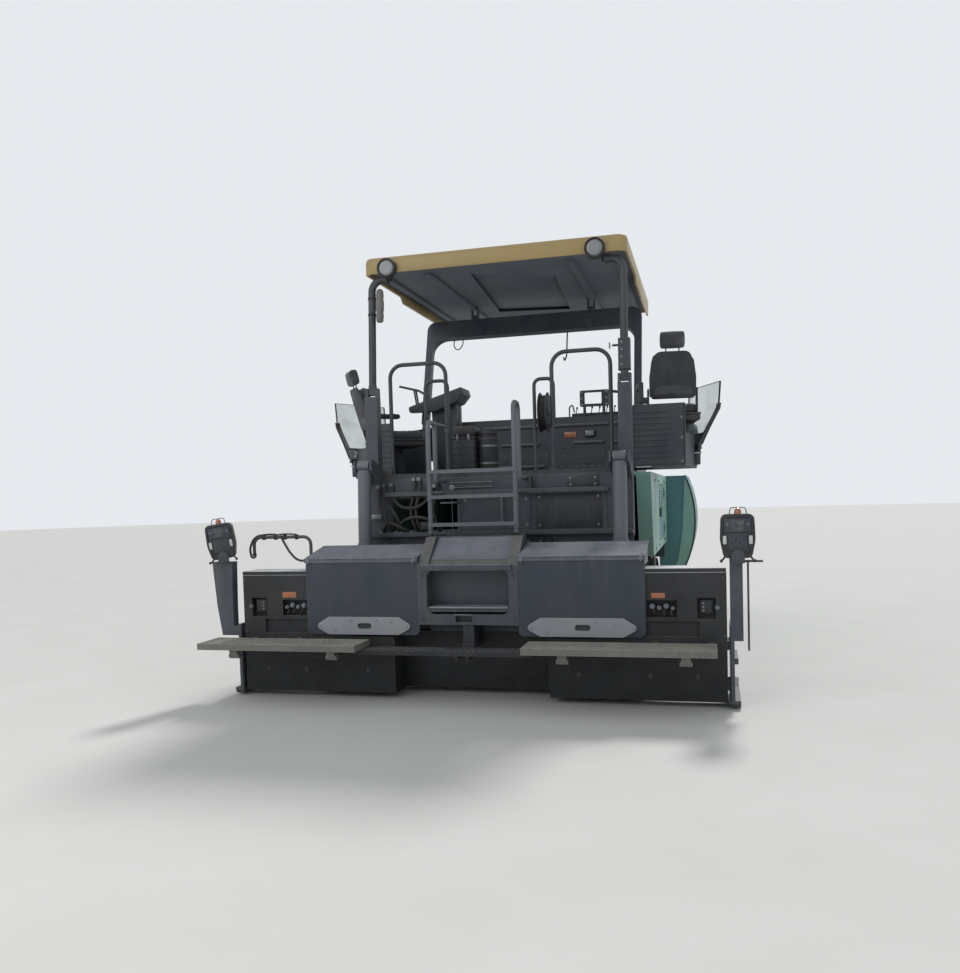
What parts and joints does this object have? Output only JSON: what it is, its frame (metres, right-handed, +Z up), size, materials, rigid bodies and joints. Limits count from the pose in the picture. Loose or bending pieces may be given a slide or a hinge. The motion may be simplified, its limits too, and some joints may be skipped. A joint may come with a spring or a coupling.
{
  "type": "tracked asphalt paver with extending screed",
  "caption": "Tracked road paver: front hopper with folding wings, engine hood, driver's deck with canopy and swing-out seats, and a wide extending screed with walkway boards.",
  "frame": {"origin": "on the ground at the middle of the machine's length and width", "axes": "+Y is the travel direction, towards the hopper; +X is to the right seen from behind; +Z is up"},
  "size_m": [4.1844, 6.209, 3.56],
  "materials": {
    "chassis": "dull dark slate paint",
    "tie_down_lugs": "dark paint",
    "engine_frame": "dark paint",
    "rear_wall": "dark slate paint",
    "auger_hanger": "dark paint",
    "engine": "plain block",
    "hood": "dark slate paint",
    "side_panels": "light teal paint",
    "deck": "dark non-slip paint",
    "ladder": "grey paint",
    "air_filter": "dark paint",
    "handrails": "grey paint",
    "track_left": "worn rubber pads",
    "track_right": "worn rubber pads",
    "track_frames": "dark paint",
    "conveyor": "worn steel",
    "hopper_base": "dark teal paint",
    "door_left": "light teal paint",
    "door_right": "light teal paint",
    "wing_left": "dark teal paint",
    "wing_right": "dark teal paint",
    "apron": "dark teal paint",
    "push_beam": "dark slate paint",
    "push_roller_left": "worn steel",
    "push_roller_right": "worn steel",
    "auger_left": "worn steel",
    "auger_right": "worn steel",
    "screed_frame": "dark paint with asphalt",
    "tow_arms": "dark paint",
    "covers": "dark slate paint",
    "steps": "dark slate paint",
    "lid_left": "dusty grey paint",
    "lid_right": "dusty grey paint",
    "grating": "dusty steel",
    "lift_barrels": "grey paint",
    "lift_rods": "hard chrome",
    "extension_left": "dark paint with dust",
    "extension_right": "dark paint with dust",
    "gate_left": "dusty grey paint",
    "gate_right": "dusty grey paint",
    "control_box_left": "matte black",
    "control_box_right": "matte black",
    "board_left": "dusty grey-beige",
    "board_right": "dusty grey-beige",
    "pod_left": "dark plastic",
    "pod_right": "dark plastic",
    "glass_left": "pale green",
    "glass_right": "pale green",
    "seat_left": "dark grey cover",
    "seat_right": "dark grey cover",
    "console": "matte black",
    "front_portal": "dark slate paint",
    "roof": "ochre yellow paint",
    "rear_posts": "dark slate paint"
  },
  "bodies": {
    "tractor": {"chassis": "chassis", "tie_down_lugs": "tie_down_lugs", "engine_frame": "engine_frame", "rear_wall": "rear_wall", "auger_hanger": "auger_hanger", "engine": "engine", "hood": "hood", "side_panels": "side_panels", "deck": "deck", "ladder": "ladder", "air_filter": "air_filter", "handrails": "handrails", "track_left": "track_left", "track_right": "track_right", "track_frames": "track_frames", "conveyor": "conveyor", "hopper_base": "hopper_base"},
    "door_left": {"door_left": "door_left"},
    "door_right": {"door_right": "door_right"},
    "wing_left": {"wing_left": "wing_left"},
    "wing_right": {"wing_right": "wing_right"},
    "apron": {"apron": "apron"},
    "push_beam": {"push_beam": "push_beam"},
    "push_roller_left": {"push_roller_left": "push_roller_left"},
    "push_roller_right": {"push_roller_right": "push_roller_right"},
    "auger_left": {"auger_left": "auger_left"},
    "auger_right": {"auger_right": "auger_right"},
    "screed": {"screed_frame": "screed_frame", "tow_arms": "tow_arms", "covers": "covers", "steps": "steps", "grating": "grating"},
    "lid_left": {"lid_left": "lid_left"},
    "lid_right": {"lid_right": "lid_right"},
    "lift_barrels": {"lift_barrels": "lift_barrels"},
    "lift_rods": {"lift_rods": "lift_rods"},
    "extension_left": {"extension_left": "extension_left"},
    "extension_right": {"extension_right": "extension_right"},
    "gate_left": {"gate_left": "gate_left", "control_box_left": "control_box_left"},
    "gate_right": {"gate_right": "gate_right", "control_box_right": "control_box_right"},
    "board_left": {"board_left": "board_left"},
    "board_right": {"board_right": "board_right"},
    "pod_left": {"pod_left": "pod_left", "glass_left": "glass_left"},
    "pod_right": {"pod_right": "pod_right", "glass_right": "glass_right"},
    "seat_left": {"seat_left": "seat_left"},
    "seat_right": {"seat_right": "seat_right"},
    "console": {"console": "console"},
    "front_portal": {"front_portal": "front_portal"},
    "roof": {"roof": "roof"},
    "rear_posts": {"rear_posts": "rear_posts"}
  },
  "joints": [
    {"name": "door_left_hinge", "type": "hinge", "parent": "tractor", "child": "door_left", "pos_m": [-1.258, 0.5, 1.3], "axis": [0, 0, -1], "range_deg": [0, 110]},
    {"name": "door_right_hinge", "type": "hinge", "parent": "tractor", "child": "door_right", "pos_m": [1.258, 0.5, 1.3], "axis": [0, 0, 1], "range_deg": [0, 110]},
    {"name": "wing_left_fold", "type": "hinge", "parent": "tractor", "child": "wing_left", "pos_m": [-0.73, 1.95, 0.7], "axis": [0, 1, 0], "range_deg": [0, 55]},
    {"name": "wing_right_fold", "type": "hinge", "parent": "tractor", "child": "wing_right", "pos_m": [0.73, 1.95, 0.7], "axis": [0, -1, 0], "range_deg": [0, 55]},
    {"name": "apron_fold", "type": "hinge", "parent": "tractor", "child": "apron", "pos_m": [0, 2.822, 0.572], "axis": [1, 0, 0], "range_deg": [0, 60]},
    {"name": "push_beam_swivel", "type": "hinge", "parent": "tractor", "child": "push_beam", "pos_m": [0, 2.86, 0.43], "axis": [0, 0, 1], "range_deg": [-5, 5]},
    {"name": "push_roller_left_spin", "type": "hinge", "parent": "push_beam", "child": "push_roller_left", "pos_m": [-0.384, 3.026, 0.44], "axis": [1, 0, 0], "continuous": true},
    {"name": "push_roller_right_spin", "type": "hinge", "parent": "push_beam", "child": "push_roller_right", "pos_m": [0.384, 3.026, 0.44], "axis": [1, 0, 0], "continuous": true},
    {"name": "auger_left_spin", "type": "hinge", "parent": "tractor", "child": "auger_left", "pos_m": [-0.6, -2.012, 0.43], "axis": [1, 0, 0], "continuous": true},
    {"name": "auger_right_spin", "type": "hinge", "parent": "tractor", "child": "auger_right", "pos_m": [0.6, -2.012, 0.43], "axis": [1, 0, 0], "continuous": true},
    {"name": "screed_lift", "type": "hinge", "parent": "tractor", "child": "screed", "pos_m": [0, 0.245, 0.5], "axis": [-1, 0, 0], "range_deg": [0, 7.5]},
    {"name": "lift_barrels_swing", "type": "hinge", "parent": "tractor", "child": "lift_barrels", "pos_m": [0, -2.05, 1.78], "axis": [1, 0, 0], "range_deg": [-0.5, 2.6]},
    {"name": "lift_rods_slide", "type": "slide", "parent": "lift_barrels", "child": "lift_rods", "axis": [0, 0.0561, 0.9984], "range_m": [0, 0.32]},
    {"name": "lid_left_hinge", "type": "hinge", "parent": "screed", "child": "lid_left", "pos_m": [-0.83, -2.391, 1.132], "axis": [-1, 0, 0], "range_deg": [0, 70]},
    {"name": "lid_right_hinge", "type": "hinge", "parent": "screed", "child": "lid_right", "pos_m": [0.83, -2.391, 1.132], "axis": [-1, 0, 0], "range_deg": [0, 70]},
    {"name": "extension_left_slide", "type": "slide", "parent": "screed", "child": "extension_left", "axis": [-1, 0, 0], "range_m": [-0.5, 0.6]},
    {"name": "extension_right_slide", "type": "slide", "parent": "screed", "child": "extension_right", "axis": [1, 0, 0], "range_m": [-0.5, 0.6]},
    {"name": "gate_left_lift", "type": "slide", "parent": "extension_left", "child": "gate_left", "axis": [0, 0, 1], "range_m": [0, 0.1]},
    {"name": "gate_right_lift", "type": "slide", "parent": "extension_right", "child": "gate_right", "axis": [0, 0, 1], "range_m": [0, 0.1]},
    {"name": "board_left_fold", "type": "hinge", "parent": "extension_left", "child": "board_left", "pos_m": [-1.5, -2.783, 0.451], "axis": [-1, 0, 0], "range_deg": [0, 85]},
    {"name": "board_right_fold", "type": "hinge", "parent": "extension_right", "child": "board_right", "pos_m": [1.1, -2.783, 0.451], "axis": [-1, 0, 0], "range_deg": [0, 85]},
    {"name": "pod_left_slide", "type": "slide", "parent": "tractor", "child": "pod_left", "axis": [1, 0, 0], "range_m": [0, 0.25]},
    {"name": "pod_right_slide", "type": "slide", "parent": "tractor", "child": "pod_right", "axis": [-1, 0, 0], "range_m": [0, 0.25]},
    {"name": "seat_left_swivel", "type": "hinge", "parent": "pod_left", "child": "seat_left", "pos_m": [-1.25, -0.855, 1.985], "axis": [0, 0, 1], "range_deg": [-25, 55]},
    {"name": "seat_right_swivel", "type": "hinge", "parent": "pod_right", "child": "seat_right", "pos_m": [1.395, -0.855, 2.1], "axis": [0, 0, 1], "range_deg": [0, 80]},
    {"name": "console_slide", "type": "slide", "parent": "tractor", "child": "console", "axis": [1, 0, 0], "range_m": [0, 1.6]},
    {"name": "portal_fold", "type": "hinge", "parent": "tractor", "child": "front_portal", "pos_m": [0, -0.315, 2.2], "axis": [-1, 0, 0], "range_deg": [0, 35]},
    {"name": "roof_tilt", "type": "hinge", "parent": "front_portal", "child": "roof", "pos_m": [0, 0.045, 3.36], "axis": [1, 0, 0], "range_deg": [0, 32]},
    {"name": "rear_posts_fold", "type": "hinge", "parent": "tractor", "child": "rear_posts", "pos_m": [0, -1.73, 2.42], "axis": [-1, 0, 0], "range_deg": [0, 42]}
  ],
  "couplings": [
    {"joint": "lift_barrels_swing", "follows": "screed_lift", "ratio": 0.23158},
    {"joint": "lift_rods_slide", "follows": "screed_lift", "m_per_rad": 2.3526},
    {"joint": "roof_tilt", "follows": "portal_fold", "ratio": 0.86031},
    {"joint": "rear_posts_fold", "follows": "portal_fold", "ratio": 1.1639}
  ]
}
